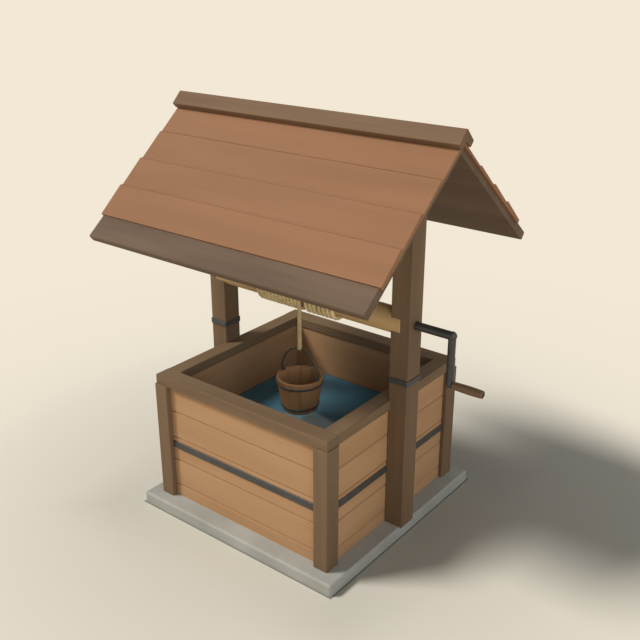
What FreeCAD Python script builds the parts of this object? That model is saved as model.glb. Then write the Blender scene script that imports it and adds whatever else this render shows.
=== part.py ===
import FreeCAD, Part
import math
import os

from FreeCAD import Vector

# Wishing well planter: a boarded square well on a slab, with two posts that carry a
# pitched roof and a windlass, whose rope holds a small stave bucket over a blue sheet.
# Millimetres. X runs along the drum, towards the crank. Y runs towards the back.
# Z is up, and the origin is under the middle of the plinth.

os.makedirs("parts", exist_ok=True)

# Driving dimensions: the well
PLINTH_HALF = 303.0
PLINTH_HEIGHT = 30.0
PLINTH_BEVEL = 4.0
POST_OUTER_X = 268.0
POST_OUTER_Y = 271.5
POST_WIDTH_X = 39.0
POST_WIDTH_Y = 44.0
POST_ROUND = 2.0
BOARD_FACE = 257.0
BOARD_THICK = 15.0
BOARD_TONGUE = 6.0
GROOVES = (62.0, 135.0, 200.0, 273.0)
GROOVE_DEPTH = 2.8
LINING_THICK = 14.5
WALL_TOP = 342.0
STRAP_BOTTOM = 171.3
STRAP_TOP = 189.2
STRAP_THICK = 3.0
STRAP_BEVEL = 0.8

# Driving dimensions: the cap
CAP_TOP = 367.0
CAP_INNER = 224.5
CAP_END = 266.0
FRONT_RAIL_OUTER = 268.0
SIDE_RAIL_OUTER = 264.5
CAP_ROUND = 2.0

# Driving dimensions: the water sheet and its ledgers
WATER_TOP = 220.0
WATER_THICK = 4.0
WATER_GAP = 1.0
LEDGER_SIDE = 18.0
LEDGER_HALF = 200.0

# Driving dimensions: roof posts and collars
ROOF_POST_OUTER = 307.0
ROOF_POST_HALF_DEPTH = 26.0
COLLAR_BOTTOM = 413.5
COLLAR_HEIGHT = 13.0
COLLAR_THICK = 2.5

# Driving dimensions: the roof. A place on a slope is given as the distance down the
# slope from the ridge line and the height above the eave strip's face.
PITCH = 39.4
APEX_HEIGHT = 977.7
DECK_LENGTH = 422.5
DECK_THICK = 20.0
DECK_HALF = 394.0
DECK_REBATE = 5.5
EAVE_BEVEL = 2.5
COURSE_HALF = 400.0
COURSE_EDGES = (97.0, 184.0, 270.0, 360.0)
COURSE_HIGH = (0.8, 2.3, 5.1, 7.3)
COURSE_LOW = (-1.2, 0.0, 2.1, 3.5)
COURSE_BEVEL = 4.0
RIDGE_SIDE = 40.3
RIDGE_HEIGHT = 975.9
RIDGE_HALF = 405.0
RIDGE_ROUND = 2.5
BEAM_HALF_WIDTH = 18.0
BEAM_BOTTOM = 892.0

# Driving dimensions: the windlass
AXIS_HEIGHT = 557.0
DRUM_RADIUS = 30.5
DRUM_HALF = 282.0
WAIST_DEPTH = 0.8
WAIST_LEFT = -152.0
WAIST_RIGHT = 112.0
RUN_CLEARANCE = 0.05
END_PLAY = 0.5
AXLE_RADIUS = 9.8
AXLE_DEPTH = 110.0
STUB_END = -298.0
CROSS_PIN_RADIUS = 3.0
CRANK_X = 400.0
CRANK_THROW = 116.5
ARM_RADIUS = 8.8
ELBOW_RADIUS = 10.5
GRIP_RADIUS = 10.0
GRIP_START = 410.0
GRIP_END = 484.0
GRIP_PIN_RADIUS = 4.0
GRIP_HEAD_RADIUS = 6.5
GRIP_HEAD_THICK = 2.5
GRIP_RECESS = 5.0

# Driving dimensions: the rope
ROPE_DIAMETER = 11.0
WORKING_PITCH = 11.9
WORKING_HALF_TURNS = 23
SPARE_PITCH = 12.5
SPARE_FRONT_PLACES = (98.0, 85.5, 73.0, 60.0, 46.0, 33.5, 20.0)
ROPE_END_TOP = 441.0
ROPE_END_BOTTOM = 423.0
ROPE_END_RADIUS = 6.0
ROPE_END_BEVEL = 1.5

# Driving dimensions: the bucket and its bail
RIM_RADIUS = 60.0
RIM_HEIGHT = 354.0
FOOT_RADIUS = 44.4
FOOT_HEIGHT = 265.0
STAVE_COUNT = 12
STAVE_THICK = 8.0
STAVE_TURN = 8.0
BASE_BOTTOM = 271.0
BASE_THICK = 6.0
UPPER_HOOP = (336.0, 342.5)
LOWER_HOOP = (275.0, 282.0)
HOOP_THICK = 1.6
BAIL_ROD_RADIUS = 2.2
BAIL_HALF_WIDTH = 57.5
BAIL_PIVOT_HEIGHT = 357.5
BAIL_APEX_HEIGHT = 427.0
BAIL_TOP_RADIUS = 47.0
BAIL_PIN_RADIUS = 1.9
BAIL_PIN_END = 49.5
BAIL_HEAD_RADIUS = 3.0
BAIL_HEAD_THICK = 1.5
EAR_OUTER = 54.6
EAR_THICK = 2.4
EAR_HALF_WIDTH = 5.0
EAR_BOTTOM = 338.0

# Driving dimensions: screws and bolts
SCREW_RADIUS = 2.5
CAP_SCREW_LENGTH = 45.0
CAP_SCREW_COVER = 6.0
SIDE_SCREW_Y = 120.0
ROOF_SCREW_DOWN = 24.0
ROOF_SCREW_PLACES = (-13.0, 5.0)
ROOF_SCREW_LENGTH = 42.0
BOLT_RADIUS = 4.0
BOLT_HEAD_RADIUS = 7.0
BOLT_HEAD_THICK = 4.0
BOLT_DEPTH = 28.0
BOLT_HEIGHTS = (90.0, 170.0)

# Worked out from the driving dimensions
POST_INNER_X = POST_OUTER_X - POST_WIDTH_X
POST_INNER_Y = POST_OUTER_Y - POST_WIDTH_Y
BOARD_BACK = BOARD_FACE - BOARD_THICK
LINING_FACE = BOARD_BACK - LINING_THICK
DRUM_CORE = DRUM_RADIUS - WAIST_DEPTH
WINDING_RADIUS = DRUM_CORE + ROPE_DIAMETER / 2
BUCKET_Y = -WINDING_RADIUS
GRIP_HEIGHT = AXIS_HEIGHT - CRANK_THROW
SLOPE_COS = math.cos(math.radians(PITCH))
SLOPE_SIN = math.sin(math.radians(PITCH))
ALONG_X = Vector(1, 0, 0)
ALONG_Y = Vector(0, 1, 0)
ALONG_Z = Vector(0, 0, 1)


def export(name, solids):
    """Write one node, a single solid or a group of separate solids."""
    shape = solids if isinstance(solids, Part.Shape) else Part.makeCompound(solids)
    shape.exportStep("parts/" + name + ".step")
    volume = sum(solid.Volume for solid in shape.Solids)
    print(name, len(shape.Solids), "solids", round(volume / 1000, 1), "cm3", shape.isValid())


def box(x_span, y_span, z_span):
    size = [span[1] - span[0] for span in (x_span, y_span, z_span)]
    return Part.makeBox(*size, Vector(x_span[0], y_span[0], z_span[0]))


def rod(radius, start, end):
    """A round bar between two points."""
    return Part.makeCylinder(radius, (end - start).Length, start, end - start)


def prism_x(outline, x_low, x_high):
    """A closed outline of (y, z) points, drawn out along X."""
    points = [Vector(x_low, y, z) for y, z in outline]
    face = Part.Face(Part.makePolygon(points + [points[0]]))
    return face.extrude(Vector(x_high - x_low, 0, 0))


def top_edges(shape, height):
    return [edge for edge in shape.Edges if edge.BoundBox.ZMin > height - 1e-6]


def edges_along(shape, direction):
    """The straight edges that run along one direction."""
    found = []
    for edge in shape.Edges:
        run = edge.Vertexes[-1].Point - edge.Vertexes[0].Point
        if run.Length > 1e-6 and run.cross(direction).Length < 1e-6 * run.Length:
            found.append(edge)
    return found


def turned_about_z(shape, angle):
    turned = shape.copy()
    turned.rotate(Vector(0, 0, 0), ALONG_Z, angle)
    return turned


def mirrored_x(shape):
    return shape.mirror(Vector(0, 0, 0), ALONG_X)


def mirrored_y(shape):
    return shape.mirror(Vector(0, 0, 0), ALONG_Y)


def on_slope(down, height):
    """The (y, z) point of the front slope, from its distance down and its height."""
    y = -down * SLOPE_COS - height * SLOPE_SIN
    z = APEX_HEIGHT - down * SLOPE_SIN + height * SLOPE_COS
    return y, z


def at_ridge(height):
    """The (y, z) point over the ridge line of a plane at one height over the slope."""
    return 0.0, APEX_HEIGHT + height / SLOPE_COS


# The plinth: a slab with a bevel round its top and down its corners
def plinth():
    slab = box((-PLINTH_HALF, PLINTH_HALF), (-PLINTH_HALF, PLINTH_HALF), (0, PLINTH_HEIGHT))
    return slab.makeChamfer(PLINTH_BEVEL, top_edges(slab, PLINTH_HEIGHT) + edges_along(slab, ALONG_Z))


# Corner posts: nearly square, with two grooves that take the boards' ends
def corner_post():
    height = (PLINTH_HEIGHT, WALL_TOP)
    post = box((POST_INNER_X, POST_OUTER_X), (POST_INNER_Y, POST_OUTER_Y), height)
    post = post.makeFillet(POST_ROUND, edges_along(post, ALONG_Z))
    board_span = (BOARD_BACK, BOARD_FACE)
    post = post.cut(box((POST_INNER_X - 1, POST_INNER_X + BOARD_TONGUE), board_span, height))
    post = post.cut(box(board_span, (POST_INNER_Y - 1, POST_INNER_Y + BOARD_TONGUE), height))
    return post.cut(Part.makeCompound(cap_screws()))


# Wall boards: five to a wall, each with a bevel along its outer edges
def wall_boards(post_inner):
    """The front wall's boards, for posts that stand that far from the middle."""
    half = post_inner + BOARD_TONGUE
    levels = (PLINTH_HEIGHT,) + GROOVES + (WALL_TOP,)
    boards = []
    for low, high in zip(levels[:-1], levels[1:]):
        foot = 0.0 if low == PLINTH_HEIGHT else GROOVE_DEPTH
        head = 0.0 if high == WALL_TOP else GROOVE_DEPTH
        outline = [(-BOARD_BACK, low), (-BOARD_FACE + foot, low)]
        if foot:
            outline.append((-BOARD_FACE, low + foot))
        if head:
            outline.append((-BOARD_FACE, high - head))
        outline += [(-BOARD_FACE + head, high), (-BOARD_BACK, high)]
        boards.append(prism_x(outline, -half, half))
    return boards


def lining_panel(post_inner):
    return box((-post_inner, post_inner), (-BOARD_BACK, -LINING_FACE), (PLINTH_HEIGHT, WALL_TOP))


# Iron straps: flat bars that lie on the boards, between the posts
def strap(x_span):
    outer = -BOARD_FACE - STRAP_THICK
    bar = box(x_span, (outer, -BOARD_FACE), (STRAP_BOTTOM, STRAP_TOP))
    return bar.makeChamfer(STRAP_BEVEL, [edge for edge in bar.Edges if edge.BoundBox.YMax < outer + 1e-6])


# Cap rails: the front and back ones run through, the side ones butt between them
def front_rail():
    rail = box((-CAP_END, CAP_END), (-FRONT_RAIL_OUTER, -CAP_INNER), (WALL_TOP, CAP_TOP))
    rail = rail.makeFillet(CAP_ROUND, top_edges(rail, CAP_TOP) + edges_along(rail, ALONG_Z))
    return rail.cut(Part.makeCompound(cap_screws()))


def side_rail():
    rail = box((CAP_INNER, SIDE_RAIL_OUTER), (-CAP_INNER, CAP_INNER), (WALL_TOP, CAP_TOP))
    long_tops = [edge for edge in edges_along(rail, ALONG_Y) if edge.BoundBox.ZMin > CAP_TOP - 1e-6]
    rail = rail.makeFillet(CAP_ROUND, long_tops)
    notch = box((BOARD_FACE, SIDE_RAIL_OUTER + 1), (-ROOF_POST_HALF_DEPTH, ROOF_POST_HALF_DEPTH),
                (WALL_TOP - 1, CAP_TOP + 1))
    return rail.cut(notch).cut(Part.makeCompound(cap_screws()))


# Cap screws: plugged over, down through the rails into the corner posts and the boards.
# All the screws are hidden and many, so they are plain round pins.
def cap_screws():
    post_x = POST_OUTER_X - POST_WIDTH_X / 2
    post_y = POST_OUTER_Y - POST_WIDTH_Y / 2
    board_middle = (BOARD_BACK + BOARD_FACE) / 2
    screws = []
    for x_side in (-1, 1):
        for y_side in (-1, 1):
            screws.append(cap_screw(x_side * post_x, y_side * post_y))
            screws.append(cap_screw(x_side * board_middle, y_side * SIDE_SCREW_Y))
    return screws


def cap_screw(x, y):
    top = Vector(x, y, CAP_TOP - CAP_SCREW_COVER)
    return rod(SCREW_RADIUS, top, top - ALONG_Z * CAP_SCREW_LENGTH)


# Water sheet on two ledgers
def water_panel():
    half = LINING_FACE - WATER_GAP
    return box((-half, half), (-half, half), (WATER_TOP - WATER_THICK, WATER_TOP))


def ledger():
    top = WATER_TOP - WATER_THICK
    return box((-LEDGER_HALF, LEDGER_HALF), (-LINING_FACE, -LINING_FACE + LEDGER_SIDE),
               (top - LEDGER_SIDE, top))


# Post bolts: from inside the lining, below the water sheet, into the roof posts
def post_bolts():
    """The right side's bolts."""
    bolts = []
    for height in BOLT_HEIGHTS:
        face = Vector(LINING_FACE, 0, height)
        shank = rod(BOLT_RADIUS, face, Vector(BOARD_FACE + BOLT_DEPTH, 0, height))
        bolts.append(shank.fuse(rod(BOLT_HEAD_RADIUS, face - ALONG_X * BOLT_HEAD_THICK, face)))
    return bolts


# Roof posts: cut to the roof's pitch on top, and housed out for the drum's end
def roof_post():
    half = ROOF_POST_HALF_DEPTH
    ridge_under = at_ridge(-DECK_THICK)[1]
    shoulder = ridge_under - half * math.tan(math.radians(PITCH))
    outline = [(-half, PLINTH_HEIGHT), (half, PLINTH_HEIGHT), (half, shoulder), (0, ridge_under),
               (-half, shoulder)]
    post = prism_x(outline, BOARD_FACE, ROOF_POST_OUTER)
    post = post.makeFillet(POST_ROUND, edges_along(post, ALONG_Z))
    housing = rod(DRUM_RADIUS + RUN_CLEARANCE, Vector(BOARD_FACE - 1, 0, AXIS_HEIGHT),
                  Vector(DRUM_HALF + END_PLAY, 0, AXIS_HEIGHT))
    hole = rod(AXLE_RADIUS + RUN_CLEARANCE, Vector(BOARD_FACE, 0, AXIS_HEIGHT),
               Vector(ROOF_POST_OUTER + 1, 0, AXIS_HEIGHT))
    post = post.cut(housing).cut(hole)
    return post.cut(Part.makeCompound(post_bolts() + roof_screws() + back_roof_screws()))


def collar():
    inner = ((BOARD_FACE, ROOF_POST_OUTER), (-ROOF_POST_HALF_DEPTH, ROOF_POST_HALF_DEPTH))
    spans = [(low - COLLAR_THICK, high + COLLAR_THICK) for low, high in inner]
    height = (COLLAR_BOTTOM, COLLAR_BOTTOM + COLLAR_HEIGHT)
    band = box(spans[0], spans[1], height)
    band = band.makeFillet(POST_ROUND + COLLAR_THICK, edges_along(band, ALONG_Z))
    core = box(inner[0], inner[1], (height[0] - 1, height[1] + 1))
    return band.cut(core.makeFillet(POST_ROUND, edges_along(core, ALONG_Z)))


# Ridge beam between the roof posts, bevelled to the decks
def ridge_beam():
    ridge_under = at_ridge(-DECK_THICK)[1]
    shoulder = ridge_under - BEAM_HALF_WIDTH * math.tan(math.radians(PITCH))
    outline = [(-BEAM_HALF_WIDTH, BEAM_BOTTOM), (BEAM_HALF_WIDTH, BEAM_BOTTOM), (BEAM_HALF_WIDTH, shoulder),
               (0, ridge_under), (-BEAM_HALF_WIDTH, shoulder)]
    return prism_x(outline, -BOARD_FACE, BOARD_FACE)


# Decks: mitred at the ridge, rebated under the courses, left full at the eave
def deck():
    """The front deck, before its screw holes."""
    seat = -DECK_REBATE
    under = -DECK_THICK
    strip = COURSE_EDGES[-1]
    outline = [at_ridge(seat), on_slope(strip, seat), on_slope(strip, 0),
               on_slope(DECK_LENGTH - EAVE_BEVEL, 0), on_slope(DECK_LENGTH, -EAVE_BEVEL),
               on_slope(DECK_LENGTH, under + EAVE_BEVEL), on_slope(DECK_LENGTH - EAVE_BEVEL, under),
               at_ridge(under)]
    return prism_x(outline, -DECK_HALF, DECK_HALF)


# Roof screws: square to the slope into the roof posts, hidden under the first course
def roof_screws(places=ROOF_SCREW_PLACES):
    """The front slope's screws: two into each roof post, set off from its middle."""
    y, z = on_slope(ROOF_SCREW_DOWN, -DECK_REBATE)
    inward = Vector(0, SLOPE_SIN, -SLOPE_COS)
    middle = (BOARD_FACE + ROOF_POST_OUTER) / 2
    heads = [Vector(middle + place, y, z) for place in places]
    right = [rod(SCREW_RADIUS, head, head + inward * ROOF_SCREW_LENGTH) for head in heads]
    return right + [mirrored_x(one) for one in right]


def back_roof_screws():
    """The back slope's screws, set beside the front ones so that they pass each other."""
    return [mirrored_y(one) for one in roof_screws([-place for place in ROOF_SCREW_PLACES])]


# Courses: long boards, each thicker than the one above, bevelled at their upper edge
def course(index):
    seat = -DECK_REBATE
    low_edge = COURSE_EDGES[index]
    high, low = COURSE_HIGH[index], COURSE_LOW[index]
    if index == 0:
        outline = [at_ridge(seat), at_ridge(high), on_slope(low_edge, low), on_slope(low_edge, seat)]
    else:
        start = COURSE_EDGES[index - 1]
        outline = [on_slope(start, seat), on_slope(start, high - COURSE_BEVEL),
                   on_slope(start + COURSE_BEVEL, high), on_slope(low_edge, low), on_slope(low_edge, seat)]
    return prism_x(outline, -COURSE_HALF, COURSE_HALF)


# Ridge bar: a square bar on its edge, notched to sit over the first courses
def ridge_bar():
    reach = RIDGE_SIDE / math.sqrt(2)
    outline = [(0, RIDGE_HEIGHT + reach), (reach, RIDGE_HEIGHT), (0, RIDGE_HEIGHT - reach),
               (-reach, RIDGE_HEIGHT)]
    bar = prism_x(outline, -RIDGE_HALF, RIDGE_HALF)
    bar = bar.makeFillet(RIDGE_ROUND, edges_along(bar, ALONG_X))
    front = [at_ridge(COURSE_HIGH[0]), on_slope(COURSE_EDGES[0], COURSE_LOW[0])]
    back = [(-y, z) for y, z in front[1:]]
    floor = APEX_HEIGHT - DECK_LENGTH
    outline = front + [(front[1][0], floor), (back[0][0], floor)] + back
    return bar.cut(prism_x(outline, -RIDGE_HALF - 1, RIDGE_HALF + 1))


# Windlass drum: turned, with a shallow waist that keeps the rope from running off
def drum():
    outline = [(-DRUM_HALF, 0), (-DRUM_HALF, DRUM_RADIUS), (WAIST_LEFT - WAIST_DEPTH, DRUM_RADIUS),
               (WAIST_LEFT, DRUM_CORE), (WAIST_RIGHT, DRUM_CORE), (WAIST_RIGHT + WAIST_DEPTH, DRUM_RADIUS),
               (DRUM_HALF, DRUM_RADIUS), (DRUM_HALF, 0)]
    points = [Vector(x, 0, AXIS_HEIGHT + radius) for x, radius in outline]
    face = Part.Face(Part.makePolygon(points + [points[0]]))
    body = face.revolve(Vector(0, 0, AXIS_HEIGHT), ALONG_X, 360)
    body = body.cut(rod(AXLE_RADIUS, axis_point(DRUM_HALF - AXLE_DEPTH), axis_point(DRUM_HALF + 1)))
    body = body.cut(rod(AXLE_RADIUS, axis_point(-DRUM_HALF - 1), axis_point(-DRUM_HALF + AXLE_DEPTH)))
    return body.cut(Part.makeCompound(cross_pins()))


def axis_point(x):
    return Vector(x, 0, AXIS_HEIGHT)


def cross_pins():
    """One pin through the drum and each axle end, flush under the drum's skin."""
    reach = DRUM_RADIUS - 1.0
    pins = []
    for side in (-1, 1):
        middle = axis_point(side * (DRUM_HALF - AXLE_DEPTH / 2))
        pins.append(rod(CROSS_PIN_RADIUS, middle - ALONG_Z * reach, middle + ALONG_Z * reach))
    return pins


def axle_stub():
    stub = rod(AXLE_RADIUS, axis_point(STUB_END), axis_point(-DRUM_HALF + AXLE_DEPTH))
    return stub.cut(Part.makeCompound(cross_pins()))


# Crank: one bent bar, with a turned-down pin and a riveted head that keeps the grip on
def crank():
    elbow = axis_point(CRANK_X)
    end = Vector(CRANK_X, 0, GRIP_HEIGHT)
    bar = rod(AXLE_RADIUS, axis_point(DRUM_HALF - AXLE_DEPTH), elbow)
    bar = bar.fuse(Part.makeSphere(ELBOW_RADIUS, elbow))
    bar = bar.fuse(rod(ARM_RADIUS, end, elbow))
    bar = bar.fuse(Part.makeSphere(ARM_RADIUS, end))
    head = Vector(GRIP_END - GRIP_RECESS, 0, GRIP_HEIGHT)
    bar = bar.fuse(rod(GRIP_PIN_RADIUS, end, head))
    bar = bar.fuse(rod(GRIP_HEAD_RADIUS, head, head + ALONG_X * GRIP_HEAD_THICK))
    return bar.cut(Part.makeCompound(cross_pins()))


# Grip: a slightly swelling wooden sleeve with a rounded end and a recess for the head
def grip():
    bore = GRIP_PIN_RADIUS + RUN_CLEARANCE
    slim = GRIP_RADIUS - 1.2
    middle = (GRIP_START + GRIP_END) / 2
    recess = GRIP_HEAD_RADIUS + 0.7
    floor = GRIP_END - GRIP_RECESS - 0.2
    at = lambda x, radius: Vector(x, 0, GRIP_HEIGHT + radius)
    edges = [Part.LineSegment(at(GRIP_START, bore), at(GRIP_START, slim)).toShape(),
             Part.Arc(at(GRIP_START, slim), at(middle, GRIP_RADIUS), at(GRIP_END - 3, slim + 0.4)).toShape(),
             Part.Arc(at(GRIP_END - 3, slim + 0.4), at(GRIP_END - 0.7, slim - 0.3),
                      at(GRIP_END, recess)).toShape(),
             Part.LineSegment(at(GRIP_END, recess), at(floor, recess)).toShape(),
             Part.LineSegment(at(floor, recess), at(floor, bore)).toShape(),
             Part.LineSegment(at(floor, bore), at(GRIP_START, bore)).toShape()]
    face = Part.Face(Part.Wire(edges))
    return face.revolve(Vector(0, 0, GRIP_HEIGHT), ALONG_X, 360)


# Rope on the drum. A winding is a line of half turns, each made of two arcs that meet
# smoothly. It starts and ends level, with a straight run of one rope diameter.
def working_places():
    """Where the rope that carries the bucket lies at each half turn, ending at X = 0."""
    return [WORKING_PITCH * (index - WORKING_HALF_TURNS) / 2 for index in range(WORKING_HALF_TURNS + 1)]


def spare_places():
    """The same for the rest of the rope, from where its turns cross the drum's front."""
    first = SPARE_FRONT_PLACES[0] + SPARE_PITCH
    last = SPARE_FRONT_PLACES[-1] - SPARE_PITCH
    fronts = (first,) + SPARE_FRONT_PLACES + (last,)
    places = []
    for front, following in zip(fronts[:-1], fronts[1:]):
        places += [(front + following) / 2, following]
    return places[:-1]


def winding_path(places):
    """The middle line, from the drum's back. Its turns run up there and down at the front."""
    radius = WINDING_RADIUS
    points, ways = [], []
    for index, x in enumerate(places):
        side = -1 if index % 2 else 1
        points.append(Vector(x, side * radius, AXIS_HEIGHT))
        way = Vector(0, 0, side * math.pi * radius)
        if 0 < index < len(places) - 1:
            way.x = (places[index + 1] - places[index - 1]) / 2
        ways.append(way.normalize())
    edges = [Part.LineSegment(points[0] - ways[0] * ROPE_DIAMETER, points[0]).toShape()]
    for index in range(len(places) - 1):
        edges += two_arcs(points[index], ways[index], points[index + 1], ways[index + 1])
    edges.append(Part.LineSegment(points[-1], points[-1] + ways[-1] * ROPE_DIAMETER).toShape())
    return edges


def arc_between(start, corner, end):
    """The arc that leaves start and reaches end along the two legs of a corner."""
    middle = (start + end) * 0.5
    leg = (corner - start).Length
    rise = (corner - middle).Length
    centre = corner + (middle - corner) * (leg * leg / (rise * rise))
    radius = (start - centre).Length
    outward = (corner - centre).normalize()
    return Part.Arc(start, centre + outward * radius, end).toShape()


def two_arcs(start, start_way, end, end_way):
    """Two arcs that join two points and keep both directions."""
    chord = end - start
    ways = start_way + end_way
    a = 2 * (start_way.dot(end_way) - 1)
    b = -2 * chord.dot(ways)
    c = chord.dot(chord)
    reach = (-b - math.sqrt(b * b - 4 * a * c)) / (2 * a)
    first = start + start_way * reach
    second = end - end_way * reach
    joint = (first + second) * 0.5
    return [arc_between(start, first, joint), arc_between(joint, second, end)]


def rope_tube(edges):
    first = edges[0]
    start = first.valueAt(first.FirstParameter)
    way = first.tangentAt(first.FirstParameter)
    section = Part.Wire(Part.makeCircle(ROPE_DIAMETER / 2, start, way))
    return Part.Wire(edges).makePipeShell([section], True, False)


def least_gap(name, edges):
    """Measure the gap between turns on points of the middle line, and print it."""
    points, travel, total = [], [], 0.0
    for edge in edges:
        for point in edge.discretize(7)[:-1]:
            if points:
                total += (point - points[-1]).Length
            points.append(point)
            travel.append(total)
    half_turn = math.pi * WINDING_RADIUS
    nearest = min((points[i] - points[j]).Length for i in range(len(points)) for j in range(i)
                  if travel[i] - travel[j] > half_turn)
    print(name, "length", round(total), "least gap", round(nearest - ROPE_DIAMETER, 2))


def rope_fall():
    top = AXIS_HEIGHT - ROPE_DIAMETER
    return rod(ROPE_DIAMETER / 2, Vector(0, -WINDING_RADIUS, ROPE_END_TOP), Vector(0, -WINDING_RADIUS, top))


def rope_end():
    """The rope's bound end, with a hole that the bail passes through."""
    y = -WINDING_RADIUS
    end = rod(ROPE_END_RADIUS, Vector(0, y, ROPE_END_BOTTOM), Vector(0, y, ROPE_END_TOP))
    rims = [edge for edge in end.Edges if edge.isClosed()]
    return end.makeChamfer(ROPE_END_BEVEL, rims).cut(bail())


# Bucket: tapered staves round a base, two hoops and two ears
def bucket_radius(height):
    share = (height - FOOT_HEIGHT) / (RIM_HEIGHT - FOOT_HEIGHT)
    return FOOT_RADIUS + (RIM_RADIUS - FOOT_RADIUS) * share


def bucket_ring(outline, start_angle=0.0, sweep=360.0):
    """A closed outline of (radius, height) points, turned about the bucket's middle."""
    points = [Vector(radius, 0, height) for radius, height in outline]
    ring = Part.Face(Part.makePolygon(points + [points[0]])).revolve(Vector(0, 0, 0), ALONG_Z, sweep)
    ring.rotate(Vector(0, 0, 0), ALONG_Z, start_angle)
    ring.translate(Vector(0, BUCKET_Y, 0))
    return ring


def staves():
    soft = 1.6
    inner_top = RIM_RADIUS - STAVE_THICK
    shoulder = RIM_HEIGHT - soft
    outline = [(FOOT_RADIUS - STAVE_THICK, FOOT_HEIGHT), (FOOT_RADIUS, FOOT_HEIGHT),
               (bucket_radius(shoulder), shoulder), (RIM_RADIUS - soft, RIM_HEIGHT),
               (inner_top + soft, RIM_HEIGHT), (bucket_radius(shoulder) - STAVE_THICK, shoulder)]
    sweep = 360.0 / STAVE_COUNT
    ears = Part.makeCompound(bucket_ears())
    rings = [bucket_ring(outline, STAVE_TURN + index * sweep, sweep) for index in range(STAVE_COUNT)]
    return [ring.cut(ears) for ring in rings]


def bucket_base():
    top = BASE_BOTTOM + BASE_THICK
    return bucket_ring([(0, BASE_BOTTOM), (bucket_radius(BASE_BOTTOM) - STAVE_THICK, BASE_BOTTOM),
                        (bucket_radius(top) - STAVE_THICK, top), (0, top)])


def hoop(span):
    low, high = span
    return bucket_ring([(bucket_radius(low), low), (bucket_radius(low) + HOOP_THICK, low),
                        (bucket_radius(high) + HOOP_THICK, high), (bucket_radius(high), high)])


def bucket_ears():
    """Two plates let into the rim, each with a rounded top and a pin hole."""
    plate = box((EAR_OUTER - EAR_THICK, EAR_OUTER), (BUCKET_Y - EAR_HALF_WIDTH, BUCKET_Y + EAR_HALF_WIDTH),
                (EAR_BOTTOM, BAIL_PIVOT_HEIGHT))
    pivot = Vector(EAR_OUTER - EAR_THICK, BUCKET_Y, BAIL_PIVOT_HEIGHT)
    plate = plate.fuse(rod(EAR_HALF_WIDTH, pivot, pivot + ALONG_X * EAR_THICK)).removeSplitter()
    hole = rod(BAIL_PIN_RADIUS + RUN_CLEARANCE, pivot - ALONG_X, pivot + ALONG_X * (EAR_THICK + 1))
    plate = plate.cut(hole)
    return [plate, mirrored_x(plate)]


# Bail: a rod bent to three arcs, its ends turned in as pins with riveted heads
def bail():
    rise = BAIL_APEX_HEIGHT - BAIL_PIVOT_HEIGHT
    drop = rise - BAIL_TOP_RADIUS
    width = BAIL_HALF_WIDTH
    side_radius = (width * width + drop * drop - BAIL_TOP_RADIUS ** 2) / (2 * (width - BAIL_TOP_RADIUS))
    lean = math.atan2(drop, side_radius - width)

    def at(x, height):
        return Vector(x, BUCKET_Y, BAIL_PIVOT_HEIGHT + height)

    def side_point(angle, sign):
        return at(sign * (width - side_radius + side_radius * math.cos(angle)), side_radius * math.sin(angle))

    right = [side_point(angle, 1) for angle in (0, lean / 2, lean)]
    left = [side_point(angle, -1) for angle in (lean, lean / 2, 0)]
    arcs = [Part.Arc(*right), Part.Arc(right[-1], at(0, rise), left[0]), Part.Arc(*left)]
    path = Part.Wire([arc.toShape() for arc in arcs])
    section = Part.Wire(Part.makeCircle(BAIL_ROD_RADIUS, right[0], ALONG_Z))
    bow = path.makePipeShell([section], True, False)
    for sign in (-1, 1):
        foot = at(sign * width, 0)
        head = at(sign * BAIL_PIN_END, 0)
        bow = bow.fuse(Part.makeSphere(BAIL_ROD_RADIUS, foot))
        bow = bow.fuse(rod(BAIL_PIN_RADIUS, foot, head))
        bow = bow.fuse(rod(BAIL_HEAD_RADIUS, head, head - ALONG_X * (sign * BAIL_HEAD_THICK)))
    return bow


# Nodes
def export_well():
    export("plinth_slab", plinth())
    post = corner_post()
    export("corner_post_back_right", post)
    export("corner_post_back_left", mirrored_x(post))
    export("corner_post_front_right", mirrored_y(post))
    export("corner_post_front_left", mirrored_y(mirrored_x(post)))
    holes = Part.makeCompound(post_bolts() + cap_screws())
    for name, angle in (("front", 0), ("right", 90), ("back", 180), ("left", 270)):
        post_inner = POST_INNER_X if name in ("front", "back") else POST_INNER_Y
        boards = [turned_about_z(board, angle) for board in wall_boards(post_inner)]
        lining = turned_about_z(lining_panel(post_inner), angle)
        if name in ("right", "left"):
            drills = holes if name == "right" else mirrored_x(holes)
            boards = [board.cut(drills) for board in boards]
            lining = lining.cut(drills)
        export("boards_" + name, boards)
        export("lining_" + name, lining)
    half = ROOF_POST_HALF_DEPTH
    full = strap((-POST_INNER_X, POST_INNER_X))
    export("strap_front", full)
    export("strap_back", mirrored_y(full))
    for name, span in (("front", (-POST_INNER_Y, -half)), ("back", (half, POST_INNER_Y))):
        right = turned_about_z(strap(span), 90)
        export("strap_right_" + name, right)
        export("strap_left_" + name, mirrored_x(right))
    export("cap_rail_front", front_rail())
    export("cap_rail_back", mirrored_y(front_rail()))
    export("cap_rail_right", side_rail())
    export("cap_rail_left", mirrored_x(side_rail()))
    export("cap_screws", cap_screws())
    export("water_panel", water_panel())
    export("ledger_front", ledger())
    export("ledger_back", mirrored_y(ledger()))


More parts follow.
